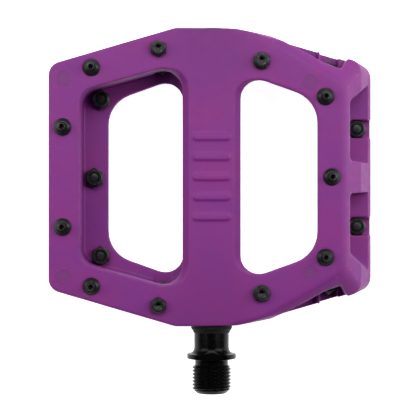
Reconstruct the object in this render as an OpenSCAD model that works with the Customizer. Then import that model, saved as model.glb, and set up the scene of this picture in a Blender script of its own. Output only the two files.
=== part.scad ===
// Flat bicycle pedal with a moulded platform, replaceable grip pins and a steel spindle.
// Y runs along the spindle, away from the crank. X runs fore and aft. Z points up.
// The origin is on the spindle's axis, at the face that seats against the crank.

/* [Platform] */
// Overall width of the platform, fore and aft
platform_w = 117.6; // [116:0.2:121]
// Length of the platform along the spindle
platform_l = 107.7; // [107:0.1:110]
// Thickness of the platform at its outer rails
rail_h = 21; // [20.5:0.25:23]
// Thickness of the platform over the spindle
barrel_h = 18; // [17.5:0.25:18.5]
// Gap between the crank's seat and the platform's inner end
platform_gap = 12.15; // [11.8:0.05:12.8]
// Thickness of the plates that carry the pins
plate_t = 4.5; // [4:0.25:5]

/* [Grip pins] */
// Radius of a collared pin's base
collar_r = 3.15; // [2.8:0.05:3.3]
// Height of a collared pin above the deck
collared_pin_h = 4.2; // [3:0.1:5]
// Radius of a stub pin's base
stub_r = 3.15; // [2.6:0.05:3.2]
// Height of a stub pin above the deck
stub_pin_h = 3; // [2.4:0.1:4]
// Radius of the screwed shank
shank_r = 1.95; // [1.5:0.05:2]
// Length of the screwed shank below the deck
shank_l = 7; // [6.5:0.1:7.2]
// Width across the flats of a pin's lock nut
pin_nut_af = 6.5; // [6:0.1:6.6]
// Height of a pin's lock nut
pin_nut_h = 3.6; // [3.2:0.1:3.8]

/* [Spindle] */
// Radius of the thread that screws into the crank
thread_r = 7.1; // [7:0.05:7.14]
// Radius of the flange that seats on the crank
flange_r = 8.95; // [8.6:0.05:9.2]
// Width across the two flats on the flange
flange_af = 13.5; // [13:0.1:15]
// Radius of the neck under the dust seal
neck_r = 6.31; // [6.2:0.01:6.4]
// Radius of the journal that runs in the bush
journal_r = 6; // [5.5:0.05:6.1]
// Width across the flats of the hex key socket
key_af = 8; // [6:1:8]

/* [Bearings] */
// Outer radius of the plain bush and of the cartridge bearing
bearing_r = 7; // [6.9:0.05:7.1]
// Bore radius of the cartridge bearing
bearing_bore_r = 3.5; // [3.4:0.05:3.5]
// Width of the cartridge bearing
bearing_w = 5; // [4.8:0.1:5.2]
// Radius of one bearing ball
ball_r = 1.19; // [1.1:0.01:1.19]
// Number of bearing balls
ball_count = 9; // [7:1:9]
// Radial gap between the journal and the bush
bush_gap = 0.03; // [0.01:0.01:0.06]

/* [Hidden] */
$fn = 96;
eps = 0.01;
past = 5;

// Platform: x and y below are measured from its own centre.
platform_y = platform_gap + platform_l / 2;
half_w = platform_w / 2;
half_l = platform_l / 2;
half_h = rail_h / 2;
plate_z = half_h - plate_t;
edge_slope = 0.292;
end_half_w = 13;
corner_r = 4.9;
end_r = 3;
edge_y = edge_y_at(half_w);
shoulder_x = 47.7;
ridge_start = [10.8, half_l - 3.15];
ridge_end = [45.7, edge_y - 5.8];
shoulder_y = edge_y - 8.1;
rim_t = 0.6;
rim_draft = 0.4;
widest_z = 6.2;
end_skirt_z = -3;
end_skirt_x = half_w - 4.5;
end_skirt_from = 22;
barrel_half_w = 10.5;
barrel_bevel = 2;
dish = half_h - barrel_h / 2;
dish_x = shoulder_x - 1.5;
dish_strips = 6;
dish_r = (dish_x * dish_x + dish * dish) / (2 * dish);

// Windows: [x of the outer side, gap to the platform's end, slope of the end, inner and outer corner radius]
narrow_window = [38.1, 16.2, 0.357, 6.6, 11.6];
wide_window = [47.3, 12.7, 0.285, 7, 6.2];

// Pockets: one in each side half, two in each sloped end with a thin wall between them
side_pocket_x = 49.9;
side_pocket_r = 1.2;
side_pocket_y = [5.9, 27.5];
side_pocket_slope = 0.86;
side_pocket_z = 3.9;
long_pocket = [[21.5, edge_y_at(21.5)], [38.9, 42.2]];
nut_pocket = [[39.7, 41.5], [46.8, 39], [49.4, edge_y_at(49.4)]];
pocket_wall = [[38.8, 42.2], [39.8, 41.5]];
end_pocket_z = plate_z - 1.2;
pocket_wall_z = 1.5;

// Grip pin places: x and y from the platform's centre. Each one off the centre line has a twin.
outer_spots = [[-53.4, 17.9], [-43.1, 39.2]];
inner_spots = [[40.8, 28.8], [43.1, 0]];
hex_stub_spots = [[-19.1, 46.1]];
round_stub_spots = [[17.9, 41.7]];
spot_r = collar_r + 0.15;
shank_tip = 0.3;
collar_h = 1.6;
collar_rim_h = 0.45;
collar_tip_r = collar_r - 1.7;
collar_key_af = 1.5;
stub_base_h = 1.2;
stub_tip_r = stub_r - 0.55;
stub_key_af = 2.2;
pin_key_depth = 2;
pin_nut_hex_h = 2.6;
pin_nut_collar_r = [2.6, 2.9];
slot_w = pin_nut_af + 0.1;
slot_reach = 20;
slot_room = 1.1;
corner_slot_room = 1.9;
outer_seat_z = plate_z + 1.5;
hex_stub_seat_z = half_h - 4;
round_stub_seat_z = plate_z + 0.3;

// Ribs moulded on the barrel
rib_count = 5;
rib_pitch = 7.2;
rib_l = 11;
rib_w = 2.2;
rib_h = 0.6;

// Spindle: distances along Y from the crank's seat
thread_end = -12.6;
thread_from = -3;
thread_bevel = [1.5, 1.9];
relief_r = 6.03;
relief_fillet = 0.4;
flange_t = 1.8;
flange_bevel = 0.25;
fillet_end = 4.2;
fillet_r = flange_r - neck_r - 0.6;
key_depth = 8;
seal_start = 9.4;
seal_rim_r = 7.5;
seal_end = platform_gap + 3.3;
bush_start = seal_end + 0.2;
bush_end = bush_start + 18;
core_r = bearing_r - 0.4;
bearing_end = platform_gap + platform_l - 15.65;
bearing_start = bearing_end - bearing_w;
bearing_mid = bearing_end - bearing_w / 2;
taper_r = 4.5;
shoulder_r = bearing_bore_r + 0.55;
tail_bevel = 0.6;
nut_af = 10;
nut_end = bearing_end + 5.3;
spindle_end = nut_end + 0.9;
washer_t = 0.8;
race_wall_r = [bearing_bore_r + 0.85, bearing_r - 0.85];
pitch_r = (bearing_bore_r + bearing_r) / 2;
groove_r = ball_r + 0.02;
cage_t = 0.7;
cage_w = 3.2;
shield_t = 0.3;
shield_inset = 0.15;
cap_r = seal_rim_r;
cap_bore_r = 6.3;
cap_end = platform_gap + platform_l;
cap_wall = 3.6;
cap_key_af = 6;
cap_key_depth = 2.2;
o_ring_r = 0.5;
o_ring_y = cap_end - 2;

// Distance of the sloped end from the platform's centre, at x
function edge_y_at(x) = half_l - edge_slope * (x - end_half_w);

function unit(v) = v / norm(v);

// Points of one rounded corner at p, between its neighbours a and b
function corner_arc(a, p, b, r, steps = 6) =
    let (u = unit(a - p), v = unit(b - p), half = acos(u * v) / 2)
    let (c = p + unit(u + v) * r / sin(half), s = p + u * r / tan(half), e = p + v * r / tan(half))
    let (a0 = atan2(s.y - c.y, s.x - c.x), a1 = atan2(e.y - c.y, e.x - c.x))
    let (turn = (a1 - a0 + 540) % 360 - 180)
    [for (i = [0:steps]) c + r * [cos(a0 + turn * i / steps), sin(a0 + turn * i / steps)]];

// Outline through corners given as [x, y, radius]
function rounded(corners) =
    let (n = len(corners), xy = [for (c = corners) [c.x, c.y]])
    [for (i = [0:n - 1]) each corner_arc(xy[(i + n - 1) % n], xy[i], xy[(i + 1) % n], corners[i].z)];

// Corner list [x, y, radius] of a shape that is the same on both sides of the X axis
function twin(half) =
    concat(half, [for (i = [len(half) - 1:-1:0]) [half[i].x, -half[i].y, half[i].z]]);

// Height of the dished deck at x, and of the flat under a pin there
function deck_z(x) =
    abs(x) >= dish_x ? half_h : barrel_h / 2 + dish_r - sqrt(dish_r * dish_r - x * x);
function seat_z(x) = deck_z(max(abs(x) - spot_r, 0));

function both_sides(spots) =
    [for (s = spots) for (side = s.y == 0 ? [1] : [-1, 1]) [s.x, side * s.y]];

// Solid turned round the spindle's axis, from points [radius, distance along Y]
module turned(profile) {
    rotate([-90, 0, 0]) rotate_extrude() polygon(profile);
}

module ring(inner, outer, from, to) {
    turned([[inner, from], [outer, from], [outer, to], [inner, to]]);
}

module on_platform() {
    translate([0, platform_y, 0]) children();
}

module both_faces() {
    children();
    rotate([0, 180, 0]) children();
}

module both_ends() {
    children();
    mirror([0, 1, 0]) children();
}

module hex(af, h) {
    cylinder(r = af / 2 / cos(30), h = h, $fn = 6);
}

// ---- Platform ----

// Outline of the upper face: full width on the left, cut back by slopes on the right
module face_outline() {
    polygon(rounded(twin([
        [-half_w + rim_draft, edge_y - rim_draft, corner_r],
        [-end_half_w, half_l - rim_draft, end_r],
        [8.5, half_l - rim_draft, 1.5],
        [ridge_start.x, ridge_start.y, 4],
        [ridge_end.x, ridge_end.y, 4],
        [shoulder_x, shoulder_y, 4]])));
}

// Left half of the outline where it is widest, below the upper face's drafted rim
module plate_outline() {
    polygon(rounded(twin([
        [-half_w, edge_y, corner_r],
        [-end_half_w, half_l, end_r],
        [0, half_l - 1, 1]])));
}

// Left half of the outline, down to which the platform's sloped ends stand upright
module skirt_outline() {
    polygon(rounded(twin([
        [-end_skirt_x, edge_y_at(end_skirt_x), corner_r],
        [-end_skirt_from, edge_y_at(end_skirt_from), 1],
        [0, half_l - 4, 1]])));
}

// Outer shape: the upper face and the same face turned over, joined by upright ends and slopes
module envelope() {
    hull() both_faces() {
        translate([0, 0, half_h - rim_t]) linear_extrude(rim_t) face_outline();
        translate([0, 0, widest_z]) linear_extrude(rim_t) plate_outline();
        translate([0, 0, end_skirt_z]) linear_extrude(rim_t) skirt_outline();
    }
}

// Shallow dish of the upper face between the rails, in narrow flat strips
module dish_cut() {
    strip = dish_x / dish_strips;
    translate([0, half_l + past, 0]) rotate([90, 0, 0]) linear_extrude(platform_l + 2 * past)
        polygon(concat([[-dish_x, half_h + past]],
            [for (i = [-dish_strips:dish_strips]) [i * strip, deck_z(i * strip)]],
            [[dish_x, half_h + past]]));
}

module blank() {
    difference() {
        envelope();
        both_faces() dish_cut();
    }
}

// One window's outline, its barrel side moved by shift and its ends drawn in by inset
module window_outline(w, shift = 0, inset = 0) {
    y_in = half_l - w[1] - inset;
    polygon(rounded(twin([
        [barrel_half_w + shift, y_in, w[3]],
        [w[0] - inset, y_in - w[2] * (w[0] - barrel_half_w), w[4]]])));
}

// Right window: narrow through the upper plate, wide below it
module right_window() {
    translate([0, 0, plate_z - eps]) linear_extrude(plate_t + past) window_outline(narrow_window);
    translate([0, 0, -half_h - past]) linear_extrude(half_h + plate_z + past)
        window_outline(wide_window);
}

// Bevel along the barrel's edge that dies away round the window's corners
module barrel_bevel_cut(w) {
    inset = 0.3;
    rise = barrel_bevel + 3;
    hull() {
        translate([0, 0, barrel_h / 2 - barrel_bevel - rim_t]) linear_extrude(rim_t)
            window_outline(w, 0.05, inset);
        translate([0, 0, barrel_h / 2 - barrel_bevel + rise]) linear_extrude(rim_t)
            window_outline(w, 0.05 - rise, inset);
    }
}

// Pocket under the outer rail, open to the side and below
module side_pocket() {
    reach = half_w + past;
    translate([0, 0, -half_h - past]) linear_extrude(half_h + side_pocket_z + past) polygon(rounded([
        [-side_pocket_x, side_pocket_y[0], side_pocket_r],
        [-side_pocket_x, side_pocket_y[1], side_pocket_r],
        [-reach, side_pocket_y[1] + side_pocket_slope * (reach - side_pocket_x), side_pocket_r],
        [-reach, side_pocket_y[0] - 1, side_pocket_r]]));
}

// Pocket in the sloped end behind a wall through the points, open to the end and below
module end_pocket(wall, ceiling_z) {
    back = half_l + past;
    translate([0, 0, -half_h - past]) linear_extrude(half_h + ceiling_z + past)
        polygon(concat([for (p = wall) [-p.x, p.y]], [[-wall[len(wall) - 1].x, back], [-wall[0].x, back]]));
}

// Slot that a nut slides into: it opens along way, and the nut seats at its upper end z
module nut_slot(spot, z, way, room = slot_room) {
    corner = slot_w / 2 / cos(30);
    translate([spot.x, spot.y, z - pin_nut_h - room]) rotate([0, 0, way])
        linear_extrude(pin_nut_h + room) polygon([
            [slot_reach, -slot_w / 2], [slot_reach, slot_w / 2],
            [-corner / 2, slot_w / 2], [-corner, 0], [-corner / 2, -slot_w / 2]]);
}

module nut_slots() {
    nut_slot(outer_spots[0], outer_seat_z, 180);
    nut_slot(outer_spots[1], outer_seat_z, 90, corner_slot_room);
    nut_slot(hex_stub_spots[0], hex_stub_seat_z, 90);
    nut_slot(round_stub_spots[0], round_stub_seat_z, -90);
}

module pin_holes() {
    for (s = both_sides(concat(outer_spots, inner_spots, hex_stub_spots, round_stub_spots)))
        translate([s.x, s.y, 0]) {
            cylinder(r = shank_r + 0.05, h = half_h + past);
            translate([0, 0, seat_z(s.x)]) cylinder(r = spot_r, h = past);
        }
}

// Moulded ribs across the barrel
module barrel_ribs() {
    for (i = [0:rib_count - 1])
        translate([0, (i - (rib_count - 1) / 2) * rib_pitch, barrel_h / 2 - eps])
            linear_extrude(rib_h + eps) {
                square([rib_l, rib_w], center = true);
                for (side = [-1, 1]) translate([side * rib_l / 2, 0]) circle(r = rib_w / 2);
            }
}

module spindle_bore() {
    ring(0, core_r, -past, cap_end + past);
    ring(0, seal_rim_r, -past, seal_end);
    ring(0, bearing_r, bush_start - eps, bush_end);
    ring(0, bearing_r, bearing_start, cap_end);
    ring(0, cap_r, bearing_end, cap_end + past);
}

module platform() {
    color("#84368a") difference() {
        on_platform() {
            difference() {
                blank();
                both_faces() {
                    right_window();
                    barrel_bevel_cut(narrow_window);
                    mirror([0, 0, 1]) barrel_bevel_cut(wide_window);
                    both_ends() {
                        side_pocket();
                        end_pocket(long_pocket, end_pocket_z);
                        end_pocket(nut_pocket, end_pocket_z);
                        end_pocket(pocket_wall, pocket_wall_z);
                        nut_slots();
                    }
                    pin_holes();
                }
            }
            both_faces() barrel_ribs();
        }
        spindle_bore();
    }
}

// ---- Grip pins and their nuts ----

module shank() {
    translate([0, 0, -shank_l]) cylinder(r1 = shank_r - shank_tip, r2 = shank_r, h = shank_tip);
    translate([0, 0, shank_tip - shank_l]) cylinder(r = shank_r, h = shank_l - shank_tip);
}

// Tapered collar, a thin tip above it and a hex key socket in its end
module collared_pin() {
    bevel = 0.3;
    difference() {
        union() {
            shank();
            rotate_extrude() polygon([
                [0, 0], [collar_r, 0], [collar_r, collar_rim_h], [collar_tip_r + 0.5, collar_h],
                [collar_tip_r, collar_h], [collar_tip_r, collared_pin_h - bevel],
                [collar_tip_r - bevel, collared_pin_h], [0, collared_pin_h]]);
        }
        translate([0, 0, collared_pin_h - pin_key_depth]) hex(collar_key_af, pin_key_depth + past);
    }
}

// Thick short tip on a hex or a round base
module stub_pin(hex_base) {
    bevel = 0.4;
    difference() {
        union() {
            shank();
            if (hex_base) hex(2 * stub_r * cos(30), stub_base_h);
            else cylinder(r = stub_r, h = stub_base_h);
            rotate_extrude() polygon([
                [0, stub_base_h - eps], [stub_tip_r, stub_base_h - eps], [stub_tip_r, stub_pin_h - bevel],
                [stub_tip_r - bevel, stub_pin_h], [0, stub_pin_h]]);
        }
        translate([0, 0, stub_pin_h - pin_key_depth]) hex(stub_key_af, pin_key_depth + past);
    }
}

// Lock nut hanging below its seat at z = 0
module pin_nut(way) {
    collar_h = pin_nut_h - pin_nut_hex_h;
    difference() {
        union() {
            translate([0, 0, -pin_nut_hex_h]) rotate([0, 0, way]) hex(pin_nut_af, pin_nut_hex_h);
            translate([0, 0, -pin_nut_h])
                cylinder(r1 = pin_nut_collar_r[0], r2 = pin_nut_collar_r[1], h = collar_h + eps);
        }
        translate([0, 0, -pin_nut_h - past]) cylinder(r = shank_r, h = pin_nut_h + 2 * past);
    }
}

module seated(spots) {
    for (s = both_sides(spots)) translate([s.x, s.y, seat_z(s.x)]) children();
}

module nutted(spot, z, way) {
    for (s = both_sides([spot])) translate([s.x, s.y, z]) pin_nut(way);
}

module outer_pins() { color("#26262a") on_platform() seated(outer_spots) collared_pin(); }
module inner_pins() { color("#26262a") on_platform() seated(inner_spots) collared_pin(); }
module hex_stub_pins() { color("#26262a") on_platform() seated(hex_stub_spots) stub_pin(true); }
module round_stub_pins() { color("#26262a") on_platform() seated(round_stub_spots) stub_pin(false); }

module outer_pin_nuts() {
    color("#1e1e21") on_platform() {
        nutted(outer_spots[0], outer_seat_z, 0);
        nutted(outer_spots[1], outer_seat_z, 90);
    }
}

module inner_pin_nuts() {
    color("#1e1e21") on_platform() for (s = inner_spots) nutted(s, plate_z, 90);
}

module stub_pin_nuts() {
    color("#1e1e21") on_platform() {
        nutted(hex_stub_spots[0], hex_stub_seat_z, 90);
        nutted(round_stub_spots[0], round_stub_seat_z, 90);
    }
}

module turned_over() {
    rotate([0, 180, 0]) children();
}

// ---- Spindle and what is fixed on it ----

module spindle() {
    color("#202023") difference() {
        turned(concat(
            [[0, thread_end], [thread_r - thread_bevel.x, thread_end],
             [thread_r, thread_end + thread_bevel.y], [thread_r, thread_from],
             [relief_r, thread_from + 0.7], [relief_r, -relief_fillet], [relief_r + relief_fillet, 0],
             [flange_r - flange_bevel, 0], [flange_r, flange_bevel],
             [flange_r, flange_t - flange_bevel], [flange_r - flange_bevel, flange_t]],
            [for (a = [270:-15:180]) [neck_r + fillet_r * (1 + cos(a)), fillet_end + fillet_r * sin(a)]],
            [[neck_r, bush_start - 0.7], [journal_r, bush_start - 0.4], [journal_r, bush_end + 2],
             [taper_r, bearing_start - 2], [shoulder_r, bearing_start - 1], [shoulder_r, bearing_start],
             [bearing_bore_r, bearing_start], [bearing_bore_r, spindle_end - tail_bevel],
             [bearing_bore_r - tail_bevel, spindle_end], [0, spindle_end]]));
        for (side = [0, 180]) rotate([0, side, 0])
            translate([-flange_r, -eps, flange_af / 2]) cube([2 * flange_r, flange_t + 1, past]);
        translate([0, thread_end - past, 0]) rotate([-90, 0, 0]) hex(key_af, past + key_depth);
    }
}

module ball_groove() {
    translate([0, bearing_mid, 0]) rotate([-90, 0, 0]) rotate_extrude()
        translate([pitch_r, 0]) circle(r = groove_r);
}

module inner_race() {
    color("silver") difference() {
        ring(bearing_bore_r, race_wall_r[0], bearing_start, bearing_end);
        ball_groove();
    }
}

module outer_race() {
    color("silver") difference() {
        ring(race_wall_r[1], bearing_r, bearing_start, bearing_end);
        ball_groove();
    }
}

module at_each_ball() {
    for (i = [0:ball_count - 1])
        translate([0, bearing_mid, 0]) rotate([0, i * 360 / ball_count, 0])
            translate([pitch_r, 0, 0]) children();
}

module bearing_balls() { color("silver") at_each_ball() sphere(r = ball_r); }

module ball_cage() {
    color("peru") difference() {
        ring(pitch_r - cage_t / 2, pitch_r + cage_t / 2, bearing_mid - cage_w / 2, bearing_mid + cage_w / 2);
        at_each_ball() rotate([0, 90, 0]) cylinder(r = groove_r, h = 3 * cage_t, center = true);
    }
}

module bearing_shields() {
    color("#303034") for (y = [bearing_start + shield_inset, bearing_end - shield_inset - shield_t])
        ring(race_wall_r[0] + 0.1, race_wall_r[1], y, y + shield_t);
}

module lock_washer() {
    color("silver") ring(bearing_bore_r, race_wall_r[0] + 0.25, bearing_end, bearing_end + washer_t);
}

module spindle_nut() {
    color("silver") difference() {
        translate([0, bearing_end + washer_t, 0]) rotate([-90, 0, 0])
            hex(nut_af, nut_end - bearing_end - washer_t);
        ring(0, bearing_bore_r, bearing_end, nut_end + past);
    }
}

// ---- Pieces pressed into the platform ----

module plain_bush() {
    color("#3c3c3a") ring(journal_r + bush_gap, bearing_r, bush_start, bush_end);
}

module dust_seal() {
    bore = neck_r + 0.05;
    color("#1a1a1a") turned([
        [bore, seal_start], [bore + 0.1, seal_start], [seal_rim_r, seal_start + 1.7],
        [seal_rim_r, seal_end], [bore, seal_end]]);
}

module end_cap() {
    color("#1c1c1e") difference() {
        ring(0, cap_r, bearing_end, cap_end);
        ring(0, cap_bore_r, bearing_end - past, cap_end - cap_wall);
        ring(cap_r - 2 * o_ring_r, cap_r + past, o_ring_y - o_ring_r, o_ring_y + o_ring_r);
        translate([0, cap_end - cap_key_depth, 0]) rotate([-90, 0, 0]) hex(cap_key_af, past);
    }
}

module end_cap_o_ring() {
    color("#151515") translate([0, o_ring_y, 0]) rotate([-90, 0, 0]) rotate_extrude()
        translate([cap_r - o_ring_r, 0]) circle(r = o_ring_r - 0.01);
}

spindle();
inner_race();
lock_washer();
spindle_nut();
bearing_balls();
ball_cage();
platform();
plain_bush();
outer_race();
bearing_shields();
dust_seal();
end_cap();
end_cap_o_ring();
outer_pins();  // top_outer_pins
inner_pins();  // top_inner_pins
hex_stub_pins();  // top_hex_stub_pins
round_stub_pins();  // top_round_stub_pins
turned_over() outer_pins();  // bottom_outer_pins
turned_over() inner_pins();  // bottom_inner_pins
turned_over() hex_stub_pins();  // bottom_hex_stub_pins
turned_over() round_stub_pins();  // bottom_round_stub_pins
outer_pin_nuts();  // top_outer_pin_nuts
inner_pin_nuts();  // top_inner_pin_nuts
stub_pin_nuts();  // top_stub_pin_nuts
turned_over() outer_pin_nuts();  // bottom_outer_pin_nuts
turned_over() inner_pin_nuts();  // bottom_inner_pin_nuts
turned_over() stub_pin_nuts();  // bottom_stub_pin_nuts
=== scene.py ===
"""Looks of a flat bicycle pedal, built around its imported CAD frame.

Blender works in metres; the sizes below are in millimetres, like the CAD, and MM turns them over.
Y runs along the spindle away from the crank, Z is up, and the origin is at the crank's seat.
"""
import math

import bmesh
import bpy
import numpy as np
from mathutils import Matrix, Vector
from mathutils.bvhtree import BVHTree


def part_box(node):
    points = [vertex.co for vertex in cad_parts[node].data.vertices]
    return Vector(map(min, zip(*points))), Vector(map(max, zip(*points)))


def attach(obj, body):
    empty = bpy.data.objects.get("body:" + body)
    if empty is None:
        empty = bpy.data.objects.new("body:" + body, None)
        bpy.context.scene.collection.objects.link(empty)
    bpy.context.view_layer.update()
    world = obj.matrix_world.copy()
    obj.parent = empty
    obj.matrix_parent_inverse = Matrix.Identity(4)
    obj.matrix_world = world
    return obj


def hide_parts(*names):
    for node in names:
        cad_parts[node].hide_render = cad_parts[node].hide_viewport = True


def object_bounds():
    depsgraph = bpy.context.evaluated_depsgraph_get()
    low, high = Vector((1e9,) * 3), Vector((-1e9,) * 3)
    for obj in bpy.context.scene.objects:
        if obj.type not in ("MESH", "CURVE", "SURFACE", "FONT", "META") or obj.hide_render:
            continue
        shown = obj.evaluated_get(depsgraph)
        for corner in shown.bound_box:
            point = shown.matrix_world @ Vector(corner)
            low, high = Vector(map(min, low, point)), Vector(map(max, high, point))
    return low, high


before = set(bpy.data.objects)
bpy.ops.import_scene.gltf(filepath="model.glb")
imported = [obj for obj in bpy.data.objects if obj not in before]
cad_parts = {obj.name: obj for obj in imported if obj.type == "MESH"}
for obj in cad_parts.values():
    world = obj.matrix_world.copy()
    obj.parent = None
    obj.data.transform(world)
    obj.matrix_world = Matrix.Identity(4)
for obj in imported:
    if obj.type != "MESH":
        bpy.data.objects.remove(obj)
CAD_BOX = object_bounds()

MM = 0.001

# Pins and nuts, measured from the seat that each one sits on
PIN_TIP = 4.2
STUB_TIP = 3.0
NUT_HEIGHT = 3.6
SHANK = 7.0

# Spindle: lengths along Y
THREAD_PITCH = 1.27
KEY_DEPTH = 8.0

# Spindle: places along Y from the crank's seat
THREAD_END = -2.3
FLANGE_END = 1.8
FILLET_END = 4.2

# Spindle: distances from its axis
THREAD_ROOT = 6.35
THREAD_CREST = 7.1
RELIEF = 6.03
FLAT = 6.75
NECK = 6.31
JOURNAL = 6.0
RACE_SEAT = 4.05
TAIL = 3.5
KEY_FLAT = 4.0
KEY_CORNER = 4.62

# Moulded platform: how finely its mesh is made
VOXEL = 0.30
EDGE_ROUNDS = 14
RIDGE_ROUNDS = 60
KEPT_FACES = 0.25

# Moulded platform: ejector-pin marks on the upper deck, as x and distance from the middle along Y
EJECTOR_MARKS = ((-53.1, 35.4), (35.5, 34.2))
EJECTOR_RADIUS = 2.6
EJECTOR_RING = 0.22         # half the ring's width
EJECTOR_HEIGHT = 0.15

# Moulded platform: the ridge between the upper deck and its slopes, in the same numbers as the marks
RIDGE = ((9.6, 53.2), (10.8, 50.7), (45.7, 34.7), (47.7, 31.7), (47.7, 0.0))
RIDGE_REACH = 4.0
RIDGE_LOWEST = 6.5

# Colours of the nylon, as linear red, green and blue
NYLON_COOL = (0.186, 0.021, 0.212)
NYLON_WARM = (0.216, 0.020, 0.198)
NYLON_DARKER_ENDS = (0.120, 0.012, 0.142)
NYLON_GRAIN = (0.30, 0.045, 0.30)
# paler edges: rubbed, and a painted highlight
NYLON_RUBBED_HIGHLIGHT = (0.38, 0.10, 0.39)

# Where the nylon is darker, toward the barrel's ends: off the middle in mm, from no share to a full one
DARKER_ENDS_ACROSS = (22, 6)
DARKER_ENDS_ALONG = (20, 56)
DARKER_ENDS_SHARE = 0.55

# Studio, in metres and watts
SOFTBOXES = (
    # name, place, width, height, power
    ("left_softbox", (-0.38, 0.16, 0.30), 0.26, 0.46, 1.25),
    ("right_softbox", (0.38, 0.16, 0.30), 0.26, 0.46, 1.6),
    ("top_softbox", (0.0, 0.38, 0.50), 0.50, 0.26, 1.95))
SKY_LOW, SKY_HIGH = 0.60, 0.05      # strength at the horizon, and above SKY_TOP
SKY_TOP = 0.45                      # height, for a direction of length 1
FLOOR_SIZE = 6
FLOOR_GAP = 0.0002
FLOOR_GLOW = 0.95
CAMERA_ASIDE = -0.0013
CAMERA_Y = 0.05505
CAMERA_HEIGHT = 0.545
LENS = 129.2


# ---------------------------------------------------------------- meshes

def circle(radius, count=48):
    """Radii of a round ring."""
    return np.full(count, float(radius))


def flats(inner, outer, sides=6, first=0.0, count=48):
    """Radii of a ring with flats at distance inner, its corners cut by a circle of radius outer."""
    angle = np.arange(count) * 2 * math.pi / count - first
    step = 2 * math.pi / sides
    off = (angle + step / 2) % step - step / 2
    return np.minimum(outer, inner / np.cos(off))


def rows_of(rings):
    """A row of points for each ring of (height, radii)."""
    count = len(rings[0][1])
    angle = np.arange(count) * 2 * math.pi / count
    return [np.stack([r * np.cos(angle), r * np.sin(angle), np.full(count, z)], 1) for z, r in rings]


def capped(rows):
    """Points and faces of a closed solid through rows of points, with a point in the middle of each end."""
    count = len(rows[0])
    ends = np.stack([rows[0].mean(0), rows[-1].mean(0)])
    points = np.concatenate(rows + [ends])
    faces = []
    for k in range(len(rows) - 1):
        faces += band(k * count, (k + 1) * count, count)
    first, last = len(points) - 2, len(points) - 1
    top = (len(rows) - 1) * count
    for i in range(count):
        j = (i + 1) % count
        faces += [(first, j, i), (last, top + i, top + j)]
    return points, faces


def looped(rows):
    """Points and faces of a closed ring-shaped solid, whose last row joins its first."""
    count = len(rows[0])
    faces = []
    for k in range(len(rows)):
        faces += band(k * count, (k + 1) % len(rows) * count, count)
    return np.concatenate(rows), faces


def band(lower, upper, count):
    """Faces between two rows of count points, which start at the numbers lower and upper."""
    faces = []
    for i in range(count):
        j = (i + 1) % count
        faces.append((lower + i, lower + j, upper + j, upper + i))
    return faces


def loft(rings):
    return capped(rows_of(rings))


def tube(rings):
    return looped(rows_of(rings))


def rounded(corners, steps=3):
    """Section through corners of (height, radius, fillet), each fillet as a short arc of points."""
    out = []
    for k, (z, r, fillet) in enumerate(corners):
        here = np.array([z, r], float)
        if not fillet or k in (0, len(corners) - 1):
            out.append(tuple(here))
            continue
        before = np.array(corners[k - 1][:2], float) - here
        after = np.array(corners[k + 1][:2], float) - here
        a = here + before / np.linalg.norm(before) * fillet
        b = here + after / np.linalg.norm(after) * fillet
        for t in np.linspace(0, 1, steps + 1):
            out.append(tuple((1 - t) ** 2 * a + 2 * t * (1 - t) * here + t ** 2 * b))
    return out


def turned(corners, count=48, steps=3):
    """Round rings through rounded corners."""
    return [(z, circle(r, count)) for z, r in rounded(corners, steps)]


def screw_rings(start, end, pitch, root, crest, rise, land, count):
    """Grooves that look like a screw thread: up to the crest over rise, then level until land."""
    rings = []
    z = start
    while z < end:
        for climb, radius in ((0.0, root), (rise, crest), (land, crest)):
            rings.append((z + climb, circle(radius, count)))
        z += pitch
    return rings


def placed(part, matrix):
    """A part of (points, faces) moved by a matrix."""
    points, faces = part
    m = np.array(matrix)
    return points @ m[:3, :3].T + m[:3, 3], faces


def make_object(name, parts, materials, sharp=38):
    """One mesh object from parts of (points in mm, faces, material number)."""
    points, faces, numbers, base = [], [], [], 0
    for (p, f), number in parts:
        points.append(p)
        faces += [tuple(i + base for i in face) for face in f]
        numbers += [number] * len(f)
        base += len(p)
    mesh = bpy.data.meshes.new(name)
    mesh.from_pydata((np.concatenate(points) * MM).tolist(), [], faces)
    mesh.polygons.foreach_set("material_index", numbers)
    for material in materials:
        mesh.materials.append(material)
    bm = bmesh.new()
    bm.from_mesh(mesh)
    bmesh.ops.remove_doubles(bm, verts=bm.verts, dist=1e-7)
    bmesh.ops.recalc_face_normals(bm, faces=bm.faces)
    bm.to_mesh(mesh)
    bm.free()
    mesh.shade_smooth()
    mesh.set_sharp_from_angle(angle=math.radians(sharp))
    obj = bpy.data.objects.new(name, mesh)
    bpy.context.collection.objects.link(obj)
    return obj


def stand_in(obj, node, body):
    """obj takes the place of a CAD node."""
    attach(obj, body)
    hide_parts(node)


def solids_of(node):
    """Centre and size, in mm, of each separate solid of a CAD node."""
    bm = bmesh.new()
    bm.from_mesh(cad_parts[node].data)
    bmesh.ops.remove_doubles(bm, verts=bm.verts, dist=1e-6)
    todo, out = set(bm.verts), []
    while todo:
        front, found = [todo.pop()], []
        while front:
            v = front.pop()
            found.append(v.co / MM)
            for e in v.link_edges:
                w = e.other_vert(v)
                if w in todo:
                    todo.remove(w)
                    front.append(w)
        co = np.array(found)
        out.append(((co.min(0) + co.max(0)) / 2, co.max(0) - co.min(0)))
    bm.free()
    return sorted(out, key=lambda s: (round(s[0][0], 2), round(s[0][1], 2)))


# ---------------------------------------------------------------- materials

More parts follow.
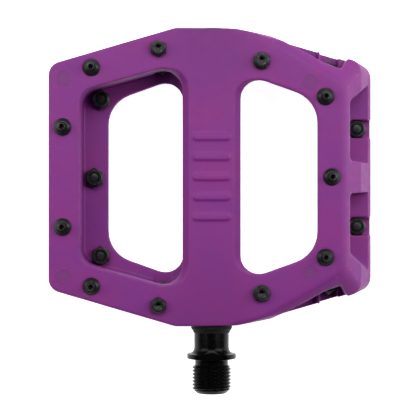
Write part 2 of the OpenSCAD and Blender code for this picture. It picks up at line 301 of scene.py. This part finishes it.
class Paint:
    """A material and short ways to add nodes to it."""

    def __init__(self, name, **constants):
        self.material = bpy.data.materials.new(name)
        self.material.use_nodes = True
        self.nodes = self.material.node_tree.nodes
        self.links = self.material.node_tree.links
        self.shader = self.nodes["Principled BSDF"]
        for socket, value in constants.items():
            self.shader.inputs[socket.replace("_", " ")].default_value = value
        self.place = self.nodes.new("ShaderNodeTexCoord").outputs["Object"]

    def link(self, a, b):
        self.links.new(a, b)

    def noise(self, size, detail=3.0, roughness=0.5, stretch=None):
        """Noise whose features are about size mm across, or longer along the axes named in stretch."""
        node = self.nodes.new("ShaderNodeTexNoise")
        node.inputs["Scale"].default_value = 1 / (size * MM)
        node.inputs["Detail"].default_value = detail
        node.inputs["Roughness"].default_value = roughness
        source = self.place
        if stretch:
            mapping = self.nodes.new("ShaderNodeMapping")
            mapping.inputs["Scale"].default_value = stretch
            self.link(source, mapping.inputs["Vector"])
            source = mapping.outputs["Vector"]
        self.link(source, node.inputs["Vector"])
        return node.outputs["Fac"]

    def remap(self, value, low, high, to_low, to_high):
        node = self.nodes.new("ShaderNodeMapRange")
        numbers = {"From Min": low, "From Max": high, "To Min": to_low, "To Max": to_high}
        for socket, number in numbers.items():
            node.inputs[socket].default_value = number
        self.link(value, node.inputs["Value"])
        return node.outputs["Result"]

    def spread(self, noise, low, high):
        """Noise turned into values from low to high; it seldom leaves 0.3 to 0.7."""
        return self.remap(noise, 0.3, 0.7, low, high)

    def compute(self, operation, first, second=None):
        """Math node on a socket and, where the operation takes two, a number or another socket."""
        node = self.nodes.new("ShaderNodeMath")
        node.operation = operation
        self.link(first, node.inputs[0])
        if isinstance(second, (int, float)):
            node.inputs[1].default_value = second
        elif second is not None:
            self.link(second, node.inputs[1])
        return node.outputs["Value"]

    def mix(self, share, first, second):
        """Colour between first and second, each a colour or a socket."""
        node = self.nodes.new("ShaderNodeMix")
        node.data_type = "RGBA"
        self.link(share, node.inputs["Factor"])
        for socket, colour in (("A", first), ("B", second)):
            target = [s for s in node.inputs if s.name == socket and s.type == "RGBA"][0]
            if isinstance(colour, tuple):
                target.default_value = (*colour, 1)
            else:
                self.link(colour, target)
        return [s for s in node.outputs if s.type == "RGBA"][0]

    def thickness(self):
        """Rises along the barrel from its middle toward both ends, and fades away from it."""
        axes = self.nodes.new("ShaderNodeSeparateXYZ")
        self.link(self.place, axes.inputs["Vector"])
        low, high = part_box("platform")
        middle = (low + high) / 2
        shares = []
        for axis, centre, (none, full) in (("X", 0.0, DARKER_ENDS_ACROSS), ("Y", middle.y, DARKER_ENDS_ALONG)):
            off = self.compute("ABSOLUTE", self.compute("SUBTRACT", axes.outputs[axis], centre))
            shares.append(self.remap(off, none * MM, full * MM, 0.0, 1.0))
        return self.remap(self.compute("MULTIPLY", *shares), 0.0, 1.0, 0.0, DARKER_ENDS_SHARE)

    def edges(self, low, high, most):
        """0 on open surface, most on outer edges; low and high are values of Pointiness."""
        pointed = self.nodes.new("ShaderNodeNewGeometry").outputs["Pointiness"]
        return self.remap(pointed, low, high, 0.0, most)

    def bump(self, *layers):
        """Stacked bumps of (height socket, depth in mm, strength)."""
        normal = None
        for height, depth, strength in layers:
            node = self.nodes.new("ShaderNodeBump")
            node.inputs["Distance"].default_value = depth * MM
            node.inputs["Strength"].default_value = strength
            self.link(height, node.inputs["Height"])
            if normal is not None:
                self.link(normal, node.inputs["Normal"])
            normal = node.outputs["Normal"]
        self.link(normal, self.shader.inputs["Normal"])


def purple_nylon(name, light):
    """Injection-moulded nylon: fine sparked texture, slow colour drift, paler edges, partly rubbed and
    partly a painted highlight.
    """
    # light scales every colour; below 1 it gives a darker copy of the nylon, painted shade
    def lit(colour):
        return tuple(c * light for c in colour)
    p = Paint(name, IOR=1.5, Specular_IOR_Level=0.36)
    drift = p.remap(p.noise(14, 2, 0.45), 0.35, 0.65, 0.0, 1.0)
    base = p.mix(drift, lit(NYLON_COOL), lit(NYLON_WARM))
    # darker toward the barrel's ends
    base = p.mix(p.thickness(), base, lit(NYLON_DARKER_ENDS))
    base = p.mix(p.spread(p.noise(0.35, 2), 0.0, 0.14), base, NYLON_GRAIN)
    # paler edges: partly rubbed wear, partly a painted highlight where the edges catch the light
    base = p.mix(p.edges(0.53, 0.66, 0.25), base, NYLON_RUBBED_HIGHLIGHT)
    p.link(base, p.shader.inputs["Base Color"])
    p.link(p.spread(p.noise(3, 4), 0.50, 0.64), p.shader.inputs["Roughness"])
    flow = p.noise(5, 3, 0.5, (0.35, 1.0, 1.0))
    p.bump((flow, 0.05, 0.25), (p.noise(0.5, 3), 0.02, 0.5), (p.noise(0.16, 2), 0.008, 0.5))
    return p.material


def black_steel(name, shade, rim, low, high, gloss):
    """Steel with a black oxide finish, paler on its edges to the shade of rim: partly rubbed, partly a
    painted highlight.
    """
    p = Paint(name, Metallic=0.5, IOR=1.45, Specular_IOR_Level=gloss)
    cloud = p.spread(p.noise(1.6, 4), 0.0, 1.0)
    base = p.mix(cloud, (shade * 0.8,) * 3, (shade * 1.2, shade * 1.2, shade * 1.25))
    # paler edges: rubbed black oxide, and a painted highlight where the edges catch the side light
    base = p.mix(p.edges(0.54, 0.68, 0.45), base, (rim, rim, rim * 1.04))
    p.link(base, p.shader.inputs["Base Color"])
    p.link(p.spread(p.noise(0.5, 3), low, high), p.shader.inputs["Roughness"])
    p.bump((p.noise(0.12, 3), 0.004, 0.5), (p.noise(0.9, 2), 0.02, 0.2))
    return p.material


def plain_metal(name, colour, low, high):
    """Bare metal with fine marks that run round the spindle's axis."""
    p = Paint(name, Metallic=1.0)
    marks = p.noise(0.25, 3, 0.6, (0.15, 1.0, 0.15))
    deep = tuple(c * 0.8 for c in colour)
    p.link(p.mix(p.spread(marks, 0.0, 1.0), deep, colour), p.shader.inputs["Base Color"])
    p.link(p.spread(marks, low, high), p.shader.inputs["Roughness"])
    p.bump((marks, 0.004, 0.4))
    return p.material


def soft_black(name, shade, low, high, grain, depth):
    """Rubber or plastic in black, with a matt grain."""
    p = Paint(name, IOR=1.5, Specular_IOR_Level=0.25)
    cloud = p.spread(p.noise(2.5, 3), 0.0, 1.0)
    base = p.mix(cloud, (shade * 0.7,) * 3, (shade * 1.3,) * 3)
    base = p.mix(p.edges(0.52, 0.62, 0.25), base, (shade * 3,) * 3)
    p.link(base, p.shader.inputs["Base Color"])
    p.link(p.spread(p.noise(0.6, 3), low, high), p.shader.inputs["Roughness"])
    p.bump((p.noise(grain, 3), depth, 0.5))
    return p.material


NYLON = purple_nylon("purple_nylon", 1.0)
# darker copy of the nylon for the discs of the ejector marks: painted shade
SHADED_WITNESS_NYLON = purple_nylon("shaded_witness_nylon", 0.62)     # inside the ejector marks
SPINDLE_STEEL = black_steel("black_steel", 0.003, 0.03, 0.20, 0.32, 0.22)
PIN_STEEL = black_steel("pin_steel", 0.028, 0.20, 0.26, 0.40, 0.5)
NUT_STEEL = black_steel("nut_steel", 0.026, 0.28, 0.26, 0.40, 0.5)
BEARING = plain_metal("bearing_steel", (0.62, 0.62, 0.64), 0.12, 0.25)
ZINC = plain_metal("zinc_steel", (0.50, 0.51, 0.53), 0.28, 0.45)
CAGE = plain_metal("cage_steel", (0.42, 0.41, 0.38), 0.30, 0.50)
RUBBER = soft_black("black_rubber", 0.005, 0.60, 0.78, 0.2, 0.010)
INSERT = soft_black("insert_nylon", 0.006, 0.40, 0.55, 0.3, 0.006)
ANODISED = black_steel("black_anodised", 0.012, 0.06, 0.28, 0.40, 0.4)
BUSH = soft_black("bush_polymer", 0.030, 0.45, 0.60, 0.25, 0.006)


# ---------------------------------------------------------------- the moulded platform

def modified(mesh, *settings):
    """A mesh with modifiers of (type, {setting: value}) applied."""
    obj = bpy.data.objects.new("work", mesh)
    bpy.context.collection.objects.link(obj)
    for kind, values in settings:
        modifier = obj.modifiers.new(kind, kind)
        for key, value in values.items():
            setattr(modifier, key, value)
    graph = bpy.context.evaluated_depsgraph_get()
    out = bpy.data.meshes.new_from_object(obj.evaluated_get(graph))
    bpy.data.objects.remove(obj)
    return out


def welded(node):
    """A CAD node's mesh with its doubled points merged."""
    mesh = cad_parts[node].data.copy()
    bm = bmesh.new()
    bm.from_mesh(mesh)
    bmesh.ops.remove_doubles(bm, verts=bm.verts, dist=1e-6)
    bm.to_mesh(mesh)
    bm.free()
    return mesh


def softened(mesh, share, rounds):
    """Moves each point toward the mean of its neighbours, rounds times, by its own share."""
    edges = np.empty(len(mesh.edges) * 2, int)
    mesh.edges.foreach_get("vertices", edges)
    edges = edges.reshape(-1, 2)
    edges = edges[(share[edges] > 0).any(axis=1)]
    count = len(mesh.vertices)
    co = np.empty(count * 3)
    mesh.vertices.foreach_get("co", co)
    co = co.reshape(-1, 3)
    degree = np.maximum(np.bincount(edges.ravel(), minlength=count), 1)
    step = (0.5 * np.clip(share, 0, 1))[:, None]
    a, b = edges[:, 0], edges[:, 1]
    for _ in range(rounds):
        total = np.stack([
            np.bincount(a, co[b, k], count) + np.bincount(b, co[a, k], count) for k in range(3)], 1)
        co += step * (total / degree[:, None] - co)
    mesh.vertices.foreach_set("co", co.ravel())
    mesh.update()
    return mesh


def ridge_share(mesh, middle):
    """How near each point is to the ridge between a deck and its slopes: 1 on it, 0 at its reach."""
    co = np.empty(len(mesh.vertices) * 3)
    mesh.vertices.foreach_get("co", co)
    co = co.reshape(-1, 3) / MM
    # the lower deck is the upper one turned over, and both ends are alike
    x = np.where(co[:, 2] > 0, co[:, 0], -co[:, 0])
    y = np.abs(co[:, 1] - middle)
    nearest = np.full(len(x), RIDGE_REACH)
    for (ax, ay), (bx, by) in zip(RIDGE, RIDGE[1:]):
        dx, dy = bx - ax, by - ay
        t = np.clip(((x - ax) * dx + (y - ay) * dy) / (dx * dx + dy * dy), 0, 1)
        nearest = np.minimum(nearest, np.hypot(x - ax - t * dx, y - ay - t * dy))
    return np.where(np.abs(co[:, 2]) > RIDGE_LOWEST, 1 - nearest / RIDGE_REACH, 0)


def on_deck(tree, x, y, radius, lift, count):
    """Row of points round x, y, each at lift above the deck under it."""
    row = []
    for t in np.arange(count) * 2 * math.pi / count:
        px, py = x + radius * math.cos(t), y + radius * math.sin(t)
        hit = tree.ray_cast(Vector((px * MM, py * MM, 1)), Vector((0, 0, -1)))[0]
        row.append((px, py, hit.z / MM + lift))
    return np.array(row)


def ejector_ring(tree, x, y):
    """Faint raised ring that a mould's ejector pin leaves on the deck."""
    section = 10
    rows = []
    for k in range(section):
        a = k * 2 * math.pi / section
        radius = EJECTOR_RADIUS + EJECTOR_RING * math.cos(a)
        rows.append(on_deck(tree, x, y, radius, -0.02 + EJECTOR_HEIGHT * math.sin(a), 72))
    return looped(rows)


def ejector_disc(tree, x, y):
    """Flat inside the ring, a hair above the deck."""
    return capped([on_deck(tree, x, y, EJECTOR_RADIUS - 0.1, lift, 48) for lift in (-0.2, 0.03)])


def platform():
    """The CAD body with its edges rounded as a mould leaves them, and the ejector marks."""
    size = VOXEL * MM
    low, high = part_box("platform")
    middle = (low.y + high.y) / 2 / MM
    mesh = modified(
        welded("platform"),
        ("REMESH", {"mode": "VOXEL", "voxel_size": size, "use_smooth_shade": True}),
        ("SMOOTH", {"factor": 0.5, "iterations": EDGE_ROUNDS}))
    mesh = softened(mesh, ridge_share(mesh, middle), RIDGE_ROUNDS)
    mesh = modified(mesh, ("DECIMATE", {"ratio": KEPT_FACES}))
    mesh.materials.clear()
    mesh.materials.append(NYLON)
    obj = bpy.data.objects.new("platform_moulding", mesh)
    bpy.context.collection.objects.link(obj)
    mesh.shade_smooth()
    stand_in(obj, "platform", "platform_set")

    tree = BVHTree.FromPolygons([v.co for v in mesh.vertices], [p.vertices for p in mesh.polygons])
    parts = []
    for x, off in EJECTOR_MARKS:
        for y in (middle - off, middle + off):
            # each disc takes the darker nylon, painted shade
            parts += [(ejector_ring(tree, x, y), 0), (ejector_disc(tree, x, y), 1)]
    marks = make_object("ejector_marks", parts, [NYLON, SHADED_WITNESS_NYLON])
    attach(marks, "platform_set")


# ---------------------------------------------------------------- pins and nuts

def shank_rings():
    """Screwed shank below the seat, from its end up."""
    end = [(-SHANK, circle(1.3)), (-SHANK + 0.05, circle(1.45))]
    screw = screw_rings(-SHANK + 0.35, -0.9, 0.7, 1.62, 1.93, 0.3, 0.38, 48)
    return end + screw + [(-0.3, circle(1.9))]


def socket_rings(top, rim, inner, depth):
    """Hex key socket sunk from the top face: chamfered mouth, six walls and a drilled bottom."""
    corner = inner / math.cos(math.pi / 6)
    return [
        (top, circle(rim)),
        (top, circle(corner * 1.08)),
        (top - 0.15, flats(inner, corner)),
        (top - depth + 0.1, flats(inner, corner)),
        (top - depth, circle(inner * 0.95)),
        (top - depth - 0.3, circle(0.05))]


def collared_pin():
    """Grip pin with a conical collar, a groove and a thin tip with a key socket."""
    body = turned([
        (-0.1, 2.2, 0), (0.0, 3.05, 0.04), (0.12, 3.15, 0.05), (0.45, 3.15, 0.1), (1.55, 1.98, 0.12),
        (1.6, 1.66, 0.05), (1.28, 1.56, 0.08), (1.34, 1.36, 0.05), (1.7, 1.45, 0.1),
        (3.85, 1.45, 0.12), (PIN_TIP, 1.16, 0.06), (PIN_TIP, 1.02, 0)])
    return loft(shank_rings() + body + socket_rings(PIN_TIP, 1.0, 0.75, 2.0))


def stub_pin(hex_base):
    """Short grip pin with a wide key socket, on a hex or a round base."""
    def base(outer):
        return flats(2.728, outer) if hex_base else circle(outer)
    rings = [(-0.1, circle(2.1)), (0.0, base(3.0)), (0.14, base(3.15)), (0.9, base(3.15)),
             (1.08, base(3.05)), (1.2, base(2.85))]
    body = turned([
        (1.2, 2.66, 0), (1.12, 2.46, 0.03), (1.3, 2.6, 0.05), (2.62, 2.6, 0.12),
        (STUB_TIP, 2.2, 0.08), (STUB_TIP, 1.7, 0)])
    return loft(shank_rings() + rings + body + socket_rings(STUB_TIP, 1.62, 1.1, 1.7))


def lock_nut(first):
    """Nut that hangs from its seat at 0: chamfered hex, rolled collar over a nylon ring."""
    def hexagon(outer):
        return flats(3.25, outer, first=first)
    rings = [(-0.4, circle(1.95)), (-0.02, circle(2.15)), (0.0, hexagon(3.12)),
             (-0.06, hexagon(3.24)), (-0.32, hexagon(3.66)), (-0.42, hexagon(3.76)),
             (-2.1, hexagon(3.76)), (-2.24, hexagon(3.66)), (-2.52, hexagon(3.22)), (-2.6, hexagon(3.05))]
    collar = turned([
        (-2.62, 2.98, 0), (-2.7, 2.88, 0.04), (-3.4, 2.86, 0.12), (-NUT_HEIGHT, 2.66, 0.06),
        (-NUT_HEIGHT, 2.52, 0.04), (-3.3, 2.42, 0.05), (-2.9, 2.4, 0), (-2.7, 1.95, 0), (-1.0, 1.95, 0)])
    insert = turned([
        (-2.9, 1.9, 0), (-2.9, 2.39, 0), (-3.15, 2.39, 0.06), (-3.22, 2.1, 0.1),
        (-3.16, 1.86, 0.08), (-3.0, 1.8, 0)])
    return tube(rings + collar), tube(insert)


def on_face(upper, x, y, z):
    """Place of a fastener whose own Z points out of the upper or the lower face."""
    turn = Matrix.Identity(4) if upper else Matrix.Rotation(math.pi, 4, "Y")
    return Matrix.Translation((x, y, z)) @ turn


def pin_group(node, part, tip):
    """All the pins of one CAD node."""
    upper = node.startswith("top")
    parts = []
    for centre, size in solids_of(node):
        reach = size[2] / 2 - tip
        z = centre[2] + reach if upper else centre[2] - reach
        parts.append((placed(part, on_face(upper, centre[0], centre[1], z)), 0))
    stand_in(make_object(node + "_detailed", parts, [PIN_STEEL]), node, "platform_set")


def nut_group(node, by_way):
    """All the nuts of one CAD node, each turned the way its CAD solid is."""
    upper = node.startswith("top")
    parts = []
    for centre, size in solids_of(node):
        z = centre[2] + size[2] / 2 if upper else centre[2] - size[2] / 2
        steel, insert = by_way[size[0] > size[1]]
        place = on_face(upper, centre[0], centre[1], z)
        parts += [(placed(steel, place), 0), (placed(insert, place), 1)]
    obj = make_object(node + "_detailed", parts, [NUT_STEEL, INSERT])
    stand_in(obj, node, "platform_set")


def fasteners():
    """Every grip pin and lock nut of both faces."""
    collared = collared_pin()
    hex_stub, round_stub = stub_pin(True), stub_pin(False)
    by_way = {False: lock_nut(0.0), True: lock_nut(math.pi / 6)}
    for face in ("top", "bottom"):
        pin_group(face + "_outer_pins", collared, PIN_TIP)
        pin_group(face + "_inner_pins", collared, PIN_TIP)
        pin_group(face + "_hex_stub_pins", hex_stub, STUB_TIP)
        pin_group(face + "_round_stub_pins", round_stub, STUB_TIP)
        for group in ("outer", "inner", "stub"):
            nut_group(f"{face}_{group}_pin_nuts", by_way)


# ---------------------------------------------------------------- spindle and what sits round it

ALONG_SPINDLE = Matrix.Rotation(-math.pi / 2, 4, "X")


def thread_rings(start, end, chamfer, run_out, count=144):
    """Rings of a right-hand thread between start and end, cut down by a chamfer and a run-out."""
    turn = np.arange(count) / count
    rings = []
    for z in np.arange(start, end, THREAD_PITCH / 14):
        # the spindle's own +Z points away from the crank, so a right-hand helix climbs with the angle
        phase = (z / THREAD_PITCH - turn) % 1.0
        height = np.clip((np.abs(2 * phase - 1) - 0.12) / 0.70, 0, 1)
        radii = THREAD_ROOT + (THREAD_CREST - THREAD_ROOT) * height
        limit = min(chamfer[1] + (z - chamfer[0]), run_out[1] + 1.5 * (run_out[0] - z))
        rings.append((z, np.minimum(radii, limit)))
    return rings


def spindle():
    """Crank thread, relief, flange with flats, neck, journal and tapered end."""
    count = 144
    low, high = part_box("spindle")
    start, end = low.y / MM, high.y / MM
    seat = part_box("inner_race")[0].y / MM
    bush_start, bush_end = (corner.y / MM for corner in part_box("plain_bush"))
    reach = high.x / MM
    bottom = start + KEY_DEPTH
    key = flats(KEY_FLAT, KEY_CORNER, count=count)
    mouth = [(bottom + 0.3, circle(0.05, count)), (bottom, circle(3.8, count)),
             (bottom - 0.1, key), (start + 0.5, key),
             (start + 0.12, circle(4.72, count)), (start, circle(4.85, count)), (start, circle(5.3, count)),
             (start + 0.1, circle(5.46, count))]
    thread = thread_rings(start + 0.3, THREAD_END, (start, 5.4), (THREAD_END, 6.05))
    relief = turned([
        (THREAD_END + 0.05, RELIEF, 0), (-0.45, RELIEF, 0.3),
        (0.0, 6.5, 0.08), (0.0, reach - 0.4, 0)], count, 4)

    def flange(radius):
        return flats(FLAT, radius, sides=2, first=math.pi / 2, count=count)
    rim = [(0.02, flange(reach - 0.25)), (0.1, flange(reach - 0.1)), (0.26, flange(reach)),
           (FLANGE_END - 0.26, flange(reach)), (FLANGE_END - 0.1, flange(reach - 0.1)),
           (FLANGE_END, flange(reach - 0.25))]
    fillet = []
    for a in np.linspace(0, math.pi / 2, 9)[1:]:
        z = FILLET_END - (FILLET_END - FLANGE_END) * math.cos(a)
        fillet.append((z, flange(NECK + (reach - 0.6 - NECK) * (1 - math.sin(a)))))
    neck = turned([
        (FILLET_END + 0.02, NECK, 0), (bush_start - 1.1, NECK, 0.1), (bush_start - 0.8, JOURNAL, 0.1),
        (bush_end + 1.5, JOURNAL, 0.3), (seat - 2, 4.5, 0.3), (seat - 1, RACE_SEAT, 0.2),
        (seat - 0.02, RACE_SEAT, 0), (seat, TAIL, 0)], count, 4)
    tail = [(seat + 5.6, circle(TAIL, count))]
    tail += screw_rings(seat + 5.9, end - 1, 0.75, 3.16, 3.48, 0.36, 0.45, count)
    tail += [(end - 0.35, circle(3.1, count)), (end, circle(2.8, count))]
    part = loft(mouth + thread + relief + rim + fillet + neck + tail)
    obj = make_object("spindle_detailed", [(placed(part, ALONG_SPINDLE), 0)], [SPINDLE_STEEL], 30)
    stand_in(obj, "spindle", "spindle_set")


def seal_and_cap():
    """Dust seal with two lips at the inner end, closed cap at the outer end."""
    count = 96
    low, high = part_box("dust_seal")
    start, end = low.y / MM, high.y / MM
    seal = tube(turned([
        (start + 0.05, 6.42, 0), (start + 0.1, 6.55, 0.05), (start + 0.7, 6.78, 0.1),
        (start + 0.8, 6.7, 0.08), (start + 0.95, 6.95, 0.1), (start + 1.75, 7.46, 0.15),
        (end, 7.46, 0), (end, 6.38, 0)], count))
    obj = make_object("dust_seal_detailed", [(placed(seal, ALONG_SPINDLE), 0)], [RUBBER])
    stand_in(obj, "dust_seal", "platform_set")

    low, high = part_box("end_cap")
    start, end = low.y / MM, high.y / MM
    corner = 3.0 / math.cos(math.pi / 6)
    key = flats(3.0, corner, count=count)
    socket = [(end - 2.3, circle(0.05, count)), (end - 2.2, circle(2.8, count)),
              (end - 2.1, key), (end - 0.25, key), (end, circle(corner * 1.06, count))]
    rim = turned([
        (end, 3.8, 0), (end, 5.4, 0.1), (end - 0.35, 5.6, 0.1), (end - 0.35, 6.1, 0.1), (end, 6.3, 0.1),
        (end, 7.48, 0.35), (end - 1.45, 7.48, 0.05), (end - 1.5, 6.55, 0.05), (end - 2.5, 6.55, 0.05),
        (end - 2.55, 7.48, 0.05), (start, 7.48, 0.2), (start, 6.32, 0.1), (end - 3.7, 6.32, 0.3),
        (end - 3.7, 0.05, 0)], count)
    cap = loft(socket + rim)
    obj = make_object("end_cap_detailed", [(placed(cap, ALONG_SPINDLE), 0)], [ANODISED])
    stand_in(obj, "end_cap", "platform_set")


def paint_cad_nodes():
    """The pieces inside the platform keep their CAD shape and get their materials."""
    finishes = {
        "inner_race": BEARING, "outer_race": BEARING, "bearing_balls": BEARING, "ball_cage": CAGE,
        "lock_washer": ZINC, "spindle_nut": ZINC, "plain_bush": BUSH,
        "bearing_shields": RUBBER, "end_cap_o_ring": RUBBER}
    for node, material in finishes.items():
        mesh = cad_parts[node].data
        mesh.materials.clear()
        mesh.materials.append(material)


# ---------------------------------------------------------------- studio

def softbox(name, at, aim, width, height, power):
    """Area light at a place, turned toward aim."""
    data = bpy.data.lights.new(name, "AREA")
    data.shape = "RECTANGLE"
    data.size, data.size_y = width, height
    data.energy = power
    obj = bpy.data.objects.new(name, data)
    obj.location = at
    obj.rotation_mode = "QUATERNION"
    obj.rotation_quaternion = (Vector(aim) - Vector(at)).to_track_quat("-Z", "Y")
    bpy.context.collection.objects.link(obj)


def studio():
    """Soft light from three sides and a dim sky, a pale floor, and the camera straight above."""
    low, high = CAD_BOX
    middle = (low + high) / 2
    world = bpy.data.worlds.new("studio")
    world.use_nodes = True
    nodes, links = world.node_tree.nodes, world.node_tree.links
    height = nodes.new("ShaderNodeSeparateXYZ")
    links.new(nodes.new("ShaderNodeTexCoord").outputs["Generated"], height.inputs["Vector"])
    level = nodes.new("ShaderNodeMapRange")
    numbers = {"From Min": 0.0, "From Max": SKY_TOP, "To Min": SKY_LOW, "To Max": SKY_HIGH}
    for socket, number in numbers.items():
        level.inputs[socket].default_value = number
    links.new(height.outputs["Z"], level.inputs["Value"])
    links.new(level.outputs["Result"], nodes["Background"].inputs["Strength"])
    bpy.context.scene.world = world

    for name, at, width, tall, power in SOFTBOXES:
        softbox(name, at, middle, width, tall, power)

    bpy.ops.mesh.primitive_plane_add(size=FLOOR_SIZE, location=(middle.x, middle.y, low.z - FLOOR_GAP))
    floor = bpy.context.object
    floor.name = "floor"
    paint = Paint("floor_white", Roughness=0.9)
    tone = paint.spread(paint.noise(400, 2), 0.92, 0.95)
    paint.link(paint.mix(tone, (0.85, 0.85, 0.85), (0.95, 0.95, 0.95)), paint.shader.inputs["Base Color"])
    paint.shader.inputs["Emission Color"].default_value = (1, 1, 1, 1)
    paint.shader.inputs["Emission Strength"].default_value = FLOOR_GLOW
    floor.data.materials.append(paint.material)

    data = bpy.data.cameras.new("camera")
    data.sensor_width = 36
    data.lens = LENS
    data.clip_start, data.clip_end = 0.01, 20
    camera = bpy.data.objects.new("camera", data)
    camera.location = (middle.x + CAMERA_ASIDE, CAMERA_Y, CAMERA_HEIGHT)
    bpy.context.collection.objects.link(camera)
    bpy.context.scene.camera = camera
    bpy.context.scene.view_settings.view_transform = "Standard"


platform()
fasteners()
spindle()
seal_and_cap()
paint_cad_nodes()
studio()
